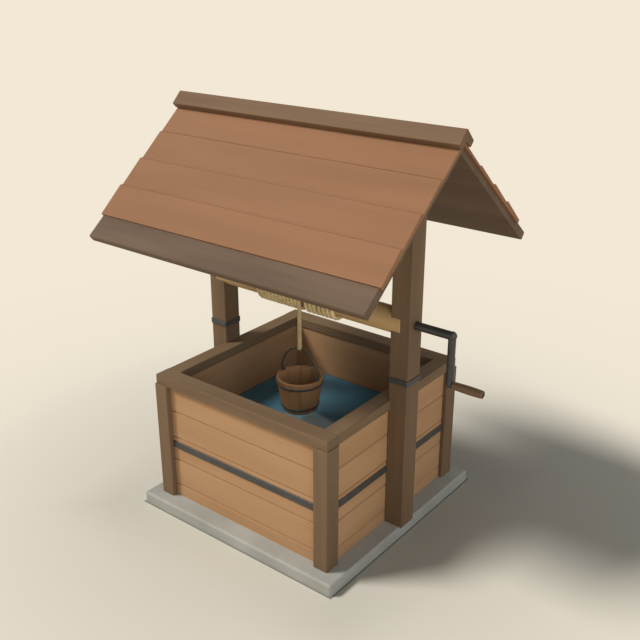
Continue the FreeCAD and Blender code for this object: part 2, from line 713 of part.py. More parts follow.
def export_roof():
    export("roof_post_right", roof_post())
    export("roof_post_left", mirrored_x(roof_post()))
    bolts = post_bolts()
    export("post_bolts", bolts + [mirrored_x(bolt) for bolt in bolts])
    export("collar_right", collar())
    export("collar_left", mirrored_x(collar()))
    export("ridge_beam", ridge_beam())
    export("deck_front", deck().cut(Part.makeCompound(roof_screws())))
    export("deck_back", mirrored_y(deck()).cut(Part.makeCompound(back_roof_screws())))
    export("roof_screws", roof_screws() + back_roof_screws())
    for index in range(len(COURSE_EDGES)):
        export("course_front_" + str(index + 1), course(index))
        export("course_back_" + str(index + 1), mirrored_y(course(index)))
    export("ridge_bar", ridge_bar())


def export_windlass():
    export("windlass_drum", drum())
    export("axle_stub", axle_stub())
    export("cross_pins", cross_pins())
    export("crank", crank())
    export("crank_grip", grip())
    working = winding_path(working_places())
    least_gap("rope_winding", working)
    export("rope_winding", rope_tube(working))
    spare = winding_path(spare_places())
    least_gap("rope_spare", spare)
    export("rope_spare", rope_tube(spare))
    export("rope_fall", rope_fall())
    export("rope_end", rope_end())


def export_bucket():
    export("bucket_staves", staves())
    export("bucket_base", bucket_base())
    export("hoop_upper", hoop(UPPER_HOOP))
    export("hoop_lower", hoop(LOWER_HOOP))
    export("bucket_ears", bucket_ears())
    export("bucket_bail", bail())


export_well()
export_roof()
export_windlass()
export_bucket()
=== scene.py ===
# %% [markdown]
# # A wishing well planter
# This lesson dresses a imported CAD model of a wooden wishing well: a boarded square
# well on a stone slab, a roof on two posts, and a windlass with a rope and a bucket.
# The big wooden and iron parts keep their CAD shapes, and get their finish here. The
# rope, the bucket and the water are built again with more detail, because they are
# soft, small or wet, and that is where plain solids look wrong.

import math

import bmesh
import bpy
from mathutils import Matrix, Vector


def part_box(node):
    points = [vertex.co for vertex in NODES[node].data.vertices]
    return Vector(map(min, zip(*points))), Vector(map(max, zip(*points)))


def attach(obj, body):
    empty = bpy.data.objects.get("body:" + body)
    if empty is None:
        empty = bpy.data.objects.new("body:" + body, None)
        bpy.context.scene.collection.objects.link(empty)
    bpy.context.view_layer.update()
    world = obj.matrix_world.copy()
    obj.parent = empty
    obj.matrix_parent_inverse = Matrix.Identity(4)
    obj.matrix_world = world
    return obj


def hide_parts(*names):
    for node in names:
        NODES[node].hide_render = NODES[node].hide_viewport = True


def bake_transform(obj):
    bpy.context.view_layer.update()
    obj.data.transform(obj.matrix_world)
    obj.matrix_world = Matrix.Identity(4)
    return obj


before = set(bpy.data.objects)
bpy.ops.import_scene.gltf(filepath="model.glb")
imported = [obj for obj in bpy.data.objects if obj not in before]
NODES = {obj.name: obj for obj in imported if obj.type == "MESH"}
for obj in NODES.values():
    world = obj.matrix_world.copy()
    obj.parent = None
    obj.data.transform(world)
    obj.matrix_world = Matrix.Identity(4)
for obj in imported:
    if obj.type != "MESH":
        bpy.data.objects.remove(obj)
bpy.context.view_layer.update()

# %% [markdown]
# ## The camera
# The photograph looks down on the well from its front right corner. Its camera was
# worked out from the square slab and the upright posts, which fix the direction,
# the distance and the focal length together. The camera comes first, so that every
# later cell can be judged from where the photograph was taken.

# %% Set the camera
CAMERA_PLACE = Vector((1.2613, -1.5601, 1.3363))
CAMERA_AZIMUTH = 38.149
CAMERA_DOWN = 22.86
CAMERA_LENS = 50.05

camera_data = bpy.data.cameras.new("camera")
camera_data.lens = CAMERA_LENS
camera_data.sensor_width = 36.0
camera = bpy.data.objects.new("camera", camera_data)
camera.location = CAMERA_PLACE
camera.rotation_euler = (math.radians(90 - CAMERA_DOWN), 0, math.radians(CAMERA_AZIMUTH))
bpy.context.collection.objects.link(camera)
bpy.context.scene.camera = camera
print("camera stands", round(CAMERA_PLACE.length, 2), "m from the slab's middle")

# %% [markdown]
# ## The rope
# A garden well's rope is laid from three strands that twist round each other. It is
# modelled in two steps. First comes the line that the rope's middle follows: round
# the drum turn by turn, or straight down to the bucket. It is a NURBS curve, so it
# has no corners. Then three thin tubes are wound round that line, like real strands.
# Drawing the twist with a bump map would be quicker, but the rope's outline would
# be a plain pipe, and an outline is what shows against a pale background.

# %% Sizes of the drum and the rope, in metres
AXIS_Z = 0.557
ROPE_DIAMETER = 0.011
WINDING_RADIUS = 0.0352
WORKING_PITCH = 0.0119
WORKING_HALF_TURNS = 23
SPARE_PITCH = 0.0125
SPARE_FRONT_PLACES = (0.098, 0.0855, 0.073, 0.060, 0.046, 0.0335, 0.020)
POINTS_PER_TURN = 16


def wound_route(places):
    """The route of a winding: places holds where the rope lies at each half turn.

    It starts at the drum's back and runs up there, over the top and down the front,
    with a straight run of one diameter at each end.
    """
    steps = POINTS_PER_TURN // 2
    # A NURBS line runs inside its control points, so they stand a little off the drum
    reach = WINDING_RADIUS / math.cos(math.pi / POINTS_PER_TURN)
    route = []
    for half_turn, (here, following) in enumerate(zip(places, places[1:])):
        for step in range(steps):
            angle = math.pi * (half_turn + step / steps)
            x = here + (following - here) * step / steps
            route.append(Vector((x, reach * math.cos(angle), AXIS_Z + reach * math.sin(angle))))
    last_side = -1 if len(places) % 2 == 0 else 1
    start = Vector((places[0], WINDING_RADIUS, AXIS_Z))
    end = Vector((places[-1], last_side * WINDING_RADIUS, AXIS_Z))
    route[0] = start
    run = Vector((0, 0, ROPE_DIAMETER))
    return [start - run] + route + [end, end + run * last_side]


working_places = [WORKING_PITCH * (index - WORKING_HALF_TURNS) / 2 for index in range(WORKING_HALF_TURNS + 1)]
spare_fronts = (SPARE_FRONT_PLACES[0] + SPARE_PITCH,) + SPARE_FRONT_PLACES
spare_fronts += (SPARE_FRONT_PLACES[-1] - SPARE_PITCH,)
spare_places = []
for front, following in zip(spare_fronts, spare_fronts[1:]):
    spare_places += [(front + following) / 2, following]
spare_places = spare_places[:-1]

working_route = wound_route(working_places)
spare_route = wound_route(spare_places)
fall_bottom = Vector((0, -WINDING_RADIUS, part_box("rope_end")[1].z))
print(len(working_route), "points on the working turns,", len(spare_route), "on the spare ones")

# %% [markdown]
# A rope never has a corner. Blender can give a route to a curve object and keep it
# there, but the strands need the line's points, so the curve is only a helper: it is
# made, turned into a mesh of points, read and thrown away.

# %% Turn a route into a smooth line
def smooth_line(name, route, samples):
    """The points of a NURBS curve whose control points are the route."""
    curve = bpy.data.curves.new(name, "CURVE")
    curve.dimensions = "3D"
    curve.resolution_u = samples
    spline = curve.splines.new("NURBS")
    spline.points.add(len(route) - 1)
    for point, place in zip(spline.points, route):
        point.co = (*place, 1)
    spline.order_u = 3
    spline.use_endpoint_u = True
    holder = bpy.data.objects.new(name, curve)
    mesh = bpy.data.meshes.new_from_object(holder)
    line = [vertex.co.copy() for vertex in mesh.vertices]
    bpy.data.objects.remove(holder)
    bpy.data.meshes.remove(mesh)
    return line


def length_of(line):
    """The length of a line of points."""
    return sum((after - before).length for before, after in zip(line, line[1:]))


WINDING_SAMPLES = 6
FALL_SAMPLES = 20
fall_top = working_route[-1]

working_line = smooth_line("working_line", working_route, WINDING_SAMPLES)
spare_line = smooth_line("spare_line", spare_route, WINDING_SAMPLES)
fall_line = smooth_line("fall_line", [fall_top, fall_top.lerp(fall_bottom, 0.5), fall_bottom], FALL_SAMPLES)
print("lengths", [round(length_of(line), 3) for line in (working_line, spare_line, fall_line)])

# %% [markdown]
# The strands turn once round the rope in about three diameters. At each point of the
# line a direction across it is carried along without twisting, and the strands are
# set out round the line from that direction. The working turns and the fall are one
# rope, so their strands are laid in one go and cut apart afterwards: the drum turns
# with the winding, while the fall hangs as a piece of its own.

# %% Wind three strands round a line
ROPE_LAY = 3.1 * ROPE_DIAMETER
STRAND_RADIUS = 0.32 * ROPE_DIAMETER
STRAND_SIDES = 8


def carried_frames(line):
    """The line's direction at each point, and two directions across it."""
    tangents = []
    for index in range(len(line)):
        before = line[max(index - 1, 0)]
        after = line[min(index + 1, len(line) - 1)]
        tangents.append((after - before).normalized())
    across = tangents[0].orthogonal().normalized()
    frames = []
    for tangent in tangents:
        across = (across - tangent * across.dot(tangent)).normalized()
        frames.append((across, tangent.cross(across)))
    return frames


def round_the_line(centre, frame_at, radius, angle):
    """The point at a radius and an angle round a line's point."""
    across, over = frame_at
    return centre + across * (radius * math.cos(angle)) + over * (radius * math.sin(angle))


def strand_lines(line):
    """The middle lines of the three strands."""
    frames = carried_frames(line)
    travel = [0.0]
    for before, after in zip(line, line[1:]):
        travel.append(travel[-1] + (after - before).length)
    offset = ROPE_DIAMETER / 2 - STRAND_RADIUS
    strands = []
    for strand in range(3):
        turns = [along / ROPE_LAY + strand / 3 for along in travel]
        strands.append([round_the_line(point, frame_at, offset, 2 * math.pi * turn)
                        for point, frame_at, turn in zip(line, frames, turns)])
    return strands


def add_tube(bm, line, radius, sides):
    """A closed tube along a line, with one ring of corners at each of its points."""
    rings = []
    for centre, frame_at in zip(line, carried_frames(line)):
        angles = [2 * math.pi * side / sides for side in range(sides)]
        rings.append([bm.verts.new(round_the_line(centre, frame_at, radius, angle)) for angle in angles])
    for ring, following in zip(rings, rings[1:]):
        for side in range(sides):
            beside = (side + 1) % sides
            bm.faces.new((ring[side], ring[beside], following[beside], following[side]))
    bm.faces.new(list(reversed(rings[0])))
    bm.faces.new(rings[-1])


def finished_piece(name, bm):
    """Put a bmesh into the scene as one object, with its faces outward."""
    bmesh.ops.recalc_face_normals(bm, faces=bm.faces)
    mesh = bpy.data.meshes.new(name)
    bm.to_mesh(mesh)
    bm.free()
    for polygon in mesh.polygons:
        polygon.use_smooth = True
    piece = bpy.data.objects.new(name, mesh)
    bpy.context.collection.objects.link(piece)
    return piece


def stranded_rope(name, strands):
    """One piece of rope, from the middle lines of its strands."""
    bm = bmesh.new()
    for strand in strands:
        add_tube(bm, strand, STRAND_RADIUS, STRAND_SIDES)
    return finished_piece(name, bm)


whole_line = working_line + fall_line[1:]
whole_strands = strand_lines(whole_line)
cut = len(working_line)
working_rope = stranded_rope("rope_on_drum", [strand[:cut] for strand in whole_strands])
hanging_rope = stranded_rope("rope_hanging", [strand[cut - 1:] for strand in whole_strands])
spare_rope = stranded_rope("rope_spare_turns", strand_lines(spare_line))
print("rope faces", [len(piece.data.polygons) for piece in (working_rope, hanging_rope, spare_rope)])

# %% [markdown]
# The rope's lower end is bound with thin twine, so that it can't fray, and the bail
# goes through it. The binding is one line of twine that is wound round a plain core.

# %% Bind the rope's end
TWINE_RADIUS = 0.0007
TWINE_PITCH = 1.9 * TWINE_RADIUS
TWINE_TURNS = 10
TWINE_STEPS = 12
TWINE_SAMPLES = 2
TWINE_SIDES = 6
TWINE_START = 0.003
TWINE_RISE = 0.0004
CORE_EDGE = 0.0015
CORE_SIDES = 24

end_low, end_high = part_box("rope_end")
end_middle = Vector((0, -WINDING_RADIUS, 0))
core_radius = (end_high.x - end_low.x) / 2 - 1.8 * TWINE_RADIUS


def turned_piece(name, outline, centre, sides):
    """A closed outline of (radius, height) points, turned about an upright axis."""
    bm = bmesh.new()
    columns = []
    for side in range(sides):
        angle = 2 * math.pi * side / sides
        way = Vector((math.cos(angle), math.sin(angle), 0))
        columns.append([bm.verts.new(centre + way * radius + Vector((0, 0, height))) for radius, height in outline])
    for side, column in enumerate(columns):
        beside = columns[(side + 1) % sides]
        for index in range(len(outline)):
            following = (index + 1) % len(outline)
            bm.faces.new((column[index], beside[index], beside[following], column[following]))
    bmesh.ops.remove_doubles(bm, verts=bm.verts, dist=1e-6)
    return finished_piece(name, bm)


end_outline = [(0, end_low.z), (core_radius - CORE_EDGE, end_low.z), (core_radius, end_low.z + CORE_EDGE),
               (core_radius, end_high.z - CORE_EDGE), (core_radius - CORE_EDGE, end_high.z), (0, end_high.z)]
end_core = turned_piece("rope_end_core", end_outline, end_middle, CORE_SIDES)
level_frame = (Vector((1, 0, 0)), Vector((0, 1, 0)))
twine_route = []
for index in range(TWINE_TURNS * TWINE_STEPS + 1):
    turns = index / TWINE_STEPS
    height = end_low.z + TWINE_START + turns * TWINE_PITCH
    centre = end_middle + Vector((0, 0, height))
    twine_route.append(round_the_line(centre, level_frame, core_radius + TWINE_RISE, 2 * math.pi * turns))
bm = bmesh.new()
add_tube(bm, smooth_line("twine_line", twine_route, TWINE_SAMPLES), TWINE_RADIUS, TWINE_SIDES)
end_twine = finished_piece("rope_end_twine", bm)
print("bound end", round(end_high.z - end_low.z, 4), "m long")

# %% [markdown]
# ## The bucket
# The bucket is coopered: tapered staves stand round a base and two iron hoops press
# them together. Each stave is its own closed shape with eased corners, so the joints
# between staves are real gaps that catch shadow. Their outer faces are flatter than
# the circle, as a cooper leaves them when they are only planed.

# %% Measure the bucket and shape its staves
STAVE_COUNT = 12
STAVE_TURN = 8.0
STAVE_THICK = 0.008
FOOT_RADIUS = 0.0444
# In radians: what each side of a stave leaves free, and how wide its eased corner is
STAVE_GAP = 0.004
EASED_ANGLE = 0.028
# How far in from the circle a stave's corner, eased edge and planed middle lie
CORNER_DEPTH = 0.0007
EASED_DEPTH = 0.0001
FLAT_DEPTH = 0.0009
INNER_CORNER_DEPTH = 0.0006

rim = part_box("bucket_staves")
bucket_centre = Vector((0, -WINDING_RADIUS, 0))
bucket_low, bucket_high = rim[0].z, rim[1].z
RIM_RADIUS = (rim[1].y - rim[0].y) / 2


def bucket_radius(height):
    """The staves' outer radius at a height."""
    share = (height - bucket_low) / (bucket_high - bucket_low)
    return FOOT_RADIUS + (RIM_RADIUS - FOOT_RADIUS) * share


def stave(bm, index):
    """One stave, from a ladder of twelve-cornered sections."""
    middle = math.radians(STAVE_TURN + (index + 0.5) * 360 / STAVE_COUNT)
    half = math.pi / STAVE_COUNT - STAVE_GAP
    eased = half - EASED_ANGLE
    # The section: angle off the middle, and how far in from the outer circle
    outer = [(-half, CORNER_DEPTH), (-eased, EASED_DEPTH), (-half / 2, FLAT_DEPTH * 0.7), (0, FLAT_DEPTH),
             (half / 2, FLAT_DEPTH * 0.7), (eased, EASED_DEPTH), (half, CORNER_DEPTH)]
    inner_corner = STAVE_THICK - INNER_CORNER_DEPTH
    inner = [(half, inner_corner), (eased, STAVE_THICK), (0, STAVE_THICK), (-eased, STAVE_THICK),
             (-half, inner_corner)]
    # The ladder: how far up, and how much the section is drawn in at the soft ends
    span = bucket_high - bucket_low
    ladder = [(0, 0.0012), (0.0012, 0), (0.012, 0), (0.024, 0), (0.04, 0), (0.056, 0), (0.068, 0),
              (span - 0.0022, 0), (span - 0.0007, 0.0008), (span, 0.0022)]
    sections = []
    for up, draw in ladder:
        section = []
        for offset, inset in outer + inner:
            inset = min(max(inset, draw), STAVE_THICK - draw)
            radius = bucket_radius(bucket_low + up) - inset
            angle = middle + offset
            way = Vector((math.cos(angle), math.sin(angle), 0))
            section.append(bm.verts.new(bucket_centre + way * radius + Vector((0, 0, bucket_low + up))))
        sections.append(section)
    count = len(sections[0])
    for section, above in zip(sections, sections[1:]):
        for corner in range(count):
            beside = (corner + 1) % count
            bm.faces.new((section[corner], section[beside], above[beside], above[corner]))
    bm.faces.new(list(reversed(sections[0])))
    bm.faces.new(sections[-1])


bm = bmesh.new()
for index in range(STAVE_COUNT):
    stave(bm, index)
bucket_wood = finished_piece("bucket_staves_planed", bm)
print("staves", STAVE_COUNT, "rim radius", round(RIM_RADIUS, 4))

# %% [markdown]
# A hoop is a strip of iron whose ends overlap and are held by two rivets. It lies
# against the staves, so it leans with them, and its edges are rounded by the hammer.
# An outline that is turned about the bucket's axis gives all of that at once.

# %% Bend the hoops and rivet them
HOOP_THICK = 0.0016
HOOP_EDGE = 0.0005
HOOP_SIDES = 96
PRESSED_IN = 0.0004
RIVET_RADIUS = 0.0021
RIVET_SIDES = 12
RIVET_DOME = ((1.0, 0.0), (0.92, 0.35), (0.62, 0.75), (0.25, 0.95))
# Where the two rivets of a lap are, as angles round the bucket: at its front right
RIVET_ANGLES = (-0.99, -0.81)


def add_rivet(bm, place, way, radius):
    """A low domed head that faces along way."""
    side = way.orthogonal().normalized()
    over = way.cross(side)
    rings = []
    angles = [2 * math.pi * step / RIVET_SIDES for step in range(RIVET_SIDES)]
    for share, rise in RIVET_DOME:
        centre = place + way * (rise * radius * 0.5)
        rings.append([bm.verts.new(round_the_line(centre, (side, over), radius * share, angle)) for angle in angles])
    for ring, following in zip(rings, rings[1:]):
        for step in range(RIVET_SIDES):
            beside = (step + 1) % RIVET_SIDES
            bm.faces.new((ring[step], ring[beside], following[beside], following[step]))
    bm.faces.new(rings[-1])
    bm.faces.new(list(reversed(rings[0])))


def iron_hoop(name, node):
    """A hoop in the space of its CAD node, and the two rivets of its lap."""
    low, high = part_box(node)[0].z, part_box(node)[1].z
    foot, head = bucket_radius(low), bucket_radius(high)
    outline = [(foot - PRESSED_IN, low), (foot + HOOP_THICK - HOOP_EDGE, low), (foot + HOOP_THICK, low + HOOP_EDGE),
               (head + HOOP_THICK, high - HOOP_EDGE), (head + HOOP_THICK - HOOP_EDGE, high), (head - PRESSED_IN, high)]
    hoop = turned_piece(name, outline, bucket_centre, HOOP_SIDES)
    bm = bmesh.new()
    middle = (low + high) / 2
    for angle in RIVET_ANGLES:
        way = Vector((math.cos(angle), math.sin(angle), 0))
        place = bucket_centre + way * (bucket_radius(middle) + HOOP_THICK - PRESSED_IN) + Vector((0, 0, middle))
        add_rivet(bm, place, way, min(RIVET_RADIUS, (high - low) / 3))
    rivets = finished_piece(name + "_rivets", bm)
    return hoop, rivets


upper_hoop, upper_rivets = iron_hoop("hoop_upper_riveted", "hoop_upper")
lower_hoop, lower_rivets = iron_hoop("hoop_lower_riveted", "hoop_lower")
print("hoops", upper_hoop.name, lower_hoop.name)

# %% [markdown]
# ## The water
# The planter holds no real water: a blue sheet stands in for it. A little ripple in
# its surface breaks up the reflection of the walls, which a flat sheet would copy
# like a mirror. Rings spread from under the bucket and die away towards the walls,
# and two slower waves cross them.

# %% Ripple the water sheet
RIPPLE_HEIGHT = 0.0003
RIPPLE_LENGTH = 0.060
RIPPLE_REACH = 0.12
# Each slower wave: its share of a ripple's height, its waves along x and y, its start
SWELLS = ((0.4, 31, 17, 0.0), (0.3, -13, 37, 1.3))
# In ripple heights. It brings the crests down to the top of the CAD sheet
HIGHEST_CREST = 1.5
SHEET_STEPS = 90

sheet_low, sheet_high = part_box("water_panel")
size = sheet_high.x - sheet_low.x
bm = bmesh.new()
grid = []
for row in range(SHEET_STEPS + 1):
    line = []
    for column in range(SHEET_STEPS + 1):
        x = sheet_low.x + size * column / SHEET_STEPS
        y = sheet_low.y + size * row / SHEET_STEPS
        away = math.hypot(x, y + WINDING_RADIUS)
        ring = math.sin(2 * math.pi * away / RIPPLE_LENGTH) * math.exp(-away / RIPPLE_REACH)
        swell = sum(share * math.sin(wave_x * x + wave_y * y + start) for share, wave_x, wave_y, start in SWELLS)
        line.append(bm.verts.new((x, y, sheet_high.z + RIPPLE_HEIGHT * (ring + swell - HIGHEST_CREST))))
    grid.append(line)
for row, above in zip(grid, grid[1:]):
    for column in range(SHEET_STEPS):
        bm.faces.new((row[column], row[column + 1], above[column + 1], above[column]))
border = grid[0] + [line[-1] for line in grid[1:]] + grid[-1][-2::-1] + [line[0] for line in grid[-2:0:-1]]
foot = [bm.verts.new((vertex.co.x, vertex.co.y, sheet_low.z)) for vertex in border]
for index in range(len(border)):
    beside = (index + 1) % len(border)
    bm.faces.new((border[index], foot[index], foot[beside], border[beside]))
bm.faces.new(list(reversed(foot)))
water = finished_piece("water_rippled", bm)
print("water sheet", round(size, 3), "m wide")

# %% [markdown]
# ## Colours and nodes
# Colours are written as sRGB codes, as a paint or colour picker gives them, and one
# function turns them into the linear values that shaders work in. Every material is
# procedural. Patterns are placed by the object's own coordinates, in metres, so a
# pattern's scale comes straight from a size that could be measured on real wood.

# %% A colour function and a node function
def linear(code):
    """An sRGB code such as "#B08860" as the linear colour that a shader takes."""
    parts = [int(code[start:start + 2], 16) / 255 for start in (1, 3, 5)]
    return [part / 12.92 if part <= 0.04045 else ((part + 0.055) / 1.055) ** 2.4 for part in parts] + [1.0]


def add(tree, kind, inputs=None, **settings):
    """Add a node. Each input takes a value, or another node's output to link from."""
    new = tree.nodes.new("ShaderNode" + kind)
    for name, value in settings.items():
        setattr(new, name, value)
    for key, value in (inputs or {}).items():
        if isinstance(value, bpy.types.NodeSocket):
            tree.links.new(value, new.inputs[key])
        else:
            new.inputs[key].default_value = value
    return new


# A Mix node has sockets for each kind of data: 6 and 7 are its colours, output 2 theirs
COLOUR_A, COLOUR_B, COLOUR_OUT = 6, 7, 2


def laid_over(tree, colour, layers):
    """A colour after others are laid over it. Each layer says how much shows, and its colour."""
    for share, code in layers:
        mixed = add(tree, "Mix", {0: share, COLOUR_A: colour, COLOUR_B: linear(code)}, data_type="RGBA")
        colour = mixed.outputs[COLOUR_OUT]
    return colour


def new_material(name):
    """An empty material, its node tree, and its output node."""
    material = bpy.data.materials.new(name)
    material.use_nodes = True
    tree = material.node_tree
    tree.nodes.clear()
    return material, tree, tree.nodes.new("ShaderNodeOutputMaterial")


print("pale sand is", [round(part, 3) for part in linear("#F2E8D5")], "in linear light")

# %% [markdown]
# Two things are shared by the hard finishes. Real edges are never sharp: a Bevel
# node rounds them for the light. The same rounding tells where an edge is, because
# there the bevelled normal differs from the face's own, and that makes a mask along
# the edges. The wood is painted paler there, partly as wear and partly as a painted
# highlight, and painted iron shows a little metal. The mask is never even, so a slow
# noise breaks it into patches.

# %% A mask along the edges
# Cosines of the angle between the two normals where the edge mask begins and where it is full
MASK_BEGINS = 0.985
MASK_FULL = 0.86


def edge_mask(tree, radius, patches):
    """The softened normal, and a mask that is 1 along the edges."""
    soft = add(tree, "Bevel", {"Radius": radius}, samples=6)
    face = add(tree, "NewGeometry")
    facing = add(tree, "VectorMath", {0: soft.outputs["Normal"], 1: face.outputs["Normal"]}, operation="DOT_PRODUCT")
    edge = add(tree, "MapRange", {"Value": facing.outputs["Value"], "From Min": MASK_BEGINS, "From Max": MASK_FULL})
    patchy = add(tree, "MapRange", {"Value": patches, "From Min": 0.35, "From Max": 0.65, "To Min": 0.35})
    mask = add(tree, "Math", {0: edge.outputs["Result"], 1: patchy.outputs["Result"]}, operation="MULTIPLY")
    return soft.outputs["Normal"], mask.outputs["Value"]


print("wear starts where an edge turns by", round(math.degrees(math.acos(MASK_BEGINS))), "degrees")

# %% [markdown]
# ## Wood
# Wood shows three things at once: fine fibres, the growth bands that a saw lays bare
# as long stripes, and slow changes of tone from one end of a board to the other. Each
# is a noise or wave pattern that is stretched along the grain. Every wooden finish
# here is this one recipe with other colours, sizes and gloss, turned to the way in
# which that piece was cut. Real fibres are about 0.04 mm wide, too fine for the
# render, so they are drawn 0.9 mm wide.

# %% A recipe for planed wood
# Each pattern of the grain, in millimetres: how wide it is, and how long it runs
FIBRE_MM = (0.9, 45)
STREAK_MM = (7.0, 260)
TONE_MM = (60.0, 420)
BAND_RUN_MM = 420


def planed_wood(name, along, dark, middle, pale, worn_and_highlight, band_mm=14.0, roughness=0.72, relief=0.25, figure=0.16,
                pore=0.25, edge=0.0022, by_board=None):
    """A material for wood whose grain runs along one axis: 0, 1 or 2.

    figure and pore say how strongly the growth bands and the pores show, relief how
    deep they are, and edge how far an edge is rounded. Along the edges the fourth colour
    is laid on, partly as wear and partly as a painted highlight. by_board moves the
    pattern from board to board and paints shade into the grooves.
    """
    material, tree, output = new_material(name)
    place = add(tree, "TexCoord").outputs["Object"]
    groove = None
    if by_board is not None:
        place, groove = by_board(tree, place)

    def grain_scale(wide_mm, run_mm):
        scale = [1000 / wide_mm] * 3
        scale[along] = 1000 / run_mm
        return scale

    def grain_noise(size_mm, **settings):
        mapping = add(tree, "Mapping", {"Vector": place, "Scale": grain_scale(*size_mm)})
        return add(tree, "TexNoise", {"Vector": mapping.outputs["Vector"], "Scale": 1.0, **settings})

    fibres = grain_noise(FIBRE_MM, Detail=3.0, Roughness=0.6)
    streaks = grain_noise(STREAK_MM, Detail=2.0, Roughness=0.55)
    tone = grain_noise(TONE_MM, Detail=1.0)
    # The bands are turned a little off the grain, as no saw cuts a log quite straight
    bands_at = add(tree, "Mapping", {"Vector": place, "Scale": grain_scale(band_mm, BAND_RUN_MM),
                                     "Rotation": (0.35, 0.35, 0.35)})
    bands = add(tree, "TexWave", {"Vector": bands_at.outputs["Vector"], "Scale": 0.5, "Distortion": 3.5, "Detail": 2.0,
                                  "Detail Scale": 1.2, "Detail Roughness": 0.5}, bands_direction="DIAGONAL")

    mottled = add(tree, "MapRange", {"Value": tone.outputs["Fac"], "From Min": 0.32, "From Max": 0.68})
    lines = add(tree, "MapRange", {"Value": bands.outputs["Fac"], "From Min": 0.55, "From Max": 1.0, "To Max": figure})
    streaked = add(tree, "MapRange", {"Value": streaks.outputs["Fac"], "From Min": 0.35, "From Max": 0.7,
                                      "To Max": 0.2})
    pores = add(tree, "MapRange", {"Value": fibres.outputs["Fac"], "From Min": 0.62, "From Max": 0.78, "To Max": pore})
    normal, edge_band = edge_mask(tree, edge, streaks.outputs["Fac"])
    # A paler colour along the edges: partly wear, partly a painted highlight
    edge_share = add(tree, "Math", {0: edge_band, 1: 0.6}, operation="MULTIPLY")
    layers = [(mottled.outputs["Result"], pale), (0.55, middle), (lines.outputs["Result"], dark),
              (streaked.outputs["Result"], pale), (pores.outputs["Result"], dark), (edge_share.outputs["Value"], worn_and_highlight)]
    # The grooves get painted shade: the dark colour laid over them
    if groove is not None:
        layers.append((groove, dark))

    height = add(tree, "Mix", {0: 0.35, 2: fibres.outputs["Fac"], 3: bands.outputs["Fac"]})
    bump = add(tree, "Bump", {"Height": height.outputs[0], "Strength": relief, "Distance": 0.0006, "Normal": normal})
    rough = add(tree, "MapRange", {"Value": fibres.outputs["Fac"], "To Min": roughness - 0.07,
                                   "To Max": roughness + 0.1})
    shader = add(tree, "BsdfPrincipled", {"Base Color": laid_over(tree, linear(dark), layers), "IOR": 1.45,
                                          "Roughness": rough.outputs["Result"], "Normal": bump.outputs["Normal"],
                                          "Specular IOR Level": 0.3})
    tree.links.new(shader.outputs["BSDF"], output.inputs["Surface"])
    return material


print("grain in mm, wide and long:", FIBRE_MM, STREAK_MM, TONE_MM)

# %% [markdown]
# The frame is pine, planed and then stained brown. A stain sinks in, so it shows the
# grain and leaves the surface matt. Along the edges it is painted paler, partly as
# wear and partly as a painted highlight. The ridge bar had a slightly redder coat. The
# roof's deck is a panel with wider bands, stained duller and greyer than the posts.

# %% The stained frame, ridge bar and deck
X, Y, Z = 0, 1, 2
# The last colour of each is laid along the edges: partly wear, partly a painted highlight
STAIN = {"dark": "#654E37", "middle": "#755C43", "pale": "#80674B", "worn_and_highlight": "#A08768"}
RIDGE = {"dark": "#664D36", "middle": "#765A41", "pale": "#82654A", "worn_and_highlight": "#A28566"}
DECK = {"dark": "#574332", "middle": "#695340", "pale": "#76604C", "worn_and_highlight": "#917B64"}

stained = {axis: planed_wood("stained_pine_" + "xyz"[axis], axis, **STAIN) for axis in (X, Y, Z)}
ridge_bar_wood = planed_wood("stained_ridge_bar", X, **RIDGE)
deck_panel = planed_wood("stained_deck_panel", X, band_mm=30, **DECK)
print("stained pine:", [material.name for material in (*stained.values(), ridge_bar_wood, deck_panel)])

# %% [markdown]
# The wall boards are oiled pine, paler than the frame, and the oil leaves them matt.
# Each board comes from another part of the log, so its pattern is moved. The boards of
# a wall are one mesh here, so the height tells them apart: it goes through steps at
# the grooves. The grooves' heights are the same values as in the CAD source. A second
# mask paints shade into each groove, darkening the wood there. The lining behind
# the boards is plywood with a clear varnish: the same wood, plainer and smoother.

# %% Give each board its own piece of the log
BOARD_GROOVES = (0.062, 0.135, 0.200, 0.273)
BOARD_JUMPS = (0.37, -0.81, 0.53, -0.29)
GROOVE_HALF_WIDTH = 0.0030
# How dark the painted shade in a groove is
GROOVE_SHADE = 0.7
# The last colour of each is laid along the edges: partly wear, partly a painted highlight
PINE = {"dark": "#A57C54", "middle": "#B38860", "pale": "#BC9369", "worn_and_highlight": "#CDA981"}
PANEL = {"dark": "#A17852", "middle": "#AF845D", "pale": "#B88F66", "worn_and_highlight": "#C7A47E"}


def log_of_each_board(tree, place):
    """The pattern moved to another place for each board, and a mask of painted shade in the grooves."""
    height = add(tree, "SeparateXYZ", {"Vector": place}).outputs["Z"]
    shift, groove_shade = 0.0, 0.0
    for groove, jump in zip(BOARD_GROOVES, BOARD_JUMPS):
        step = add(tree, "Math", {0: height, 1: groove}, operation="GREATER_THAN").outputs["Value"]
        shift = add(tree, "Math", {0: step, 1: jump, 2: shift}, operation="MULTIPLY_ADD").outputs["Value"]
        # Painted shade in each groove: a band of darker wood
        inside = add(tree, "Math", {0: height, 1: groove, 2: GROOVE_HALF_WIDTH}, operation="COMPARE").outputs["Value"]
        groove_shade = add(tree, "Math", {0: inside, 1: GROOVE_SHADE, 2: groove_shade}, operation="MULTIPLY_ADD").outputs["Value"]
    offset = add(tree, "CombineXYZ", {"X": shift, "Y": shift, "Z": shift})
    moved = add(tree, "VectorMath", {0: place, 1: offset.outputs["Vector"]}, operation="ADD").outputs["Vector"]
    return moved, groove_shade


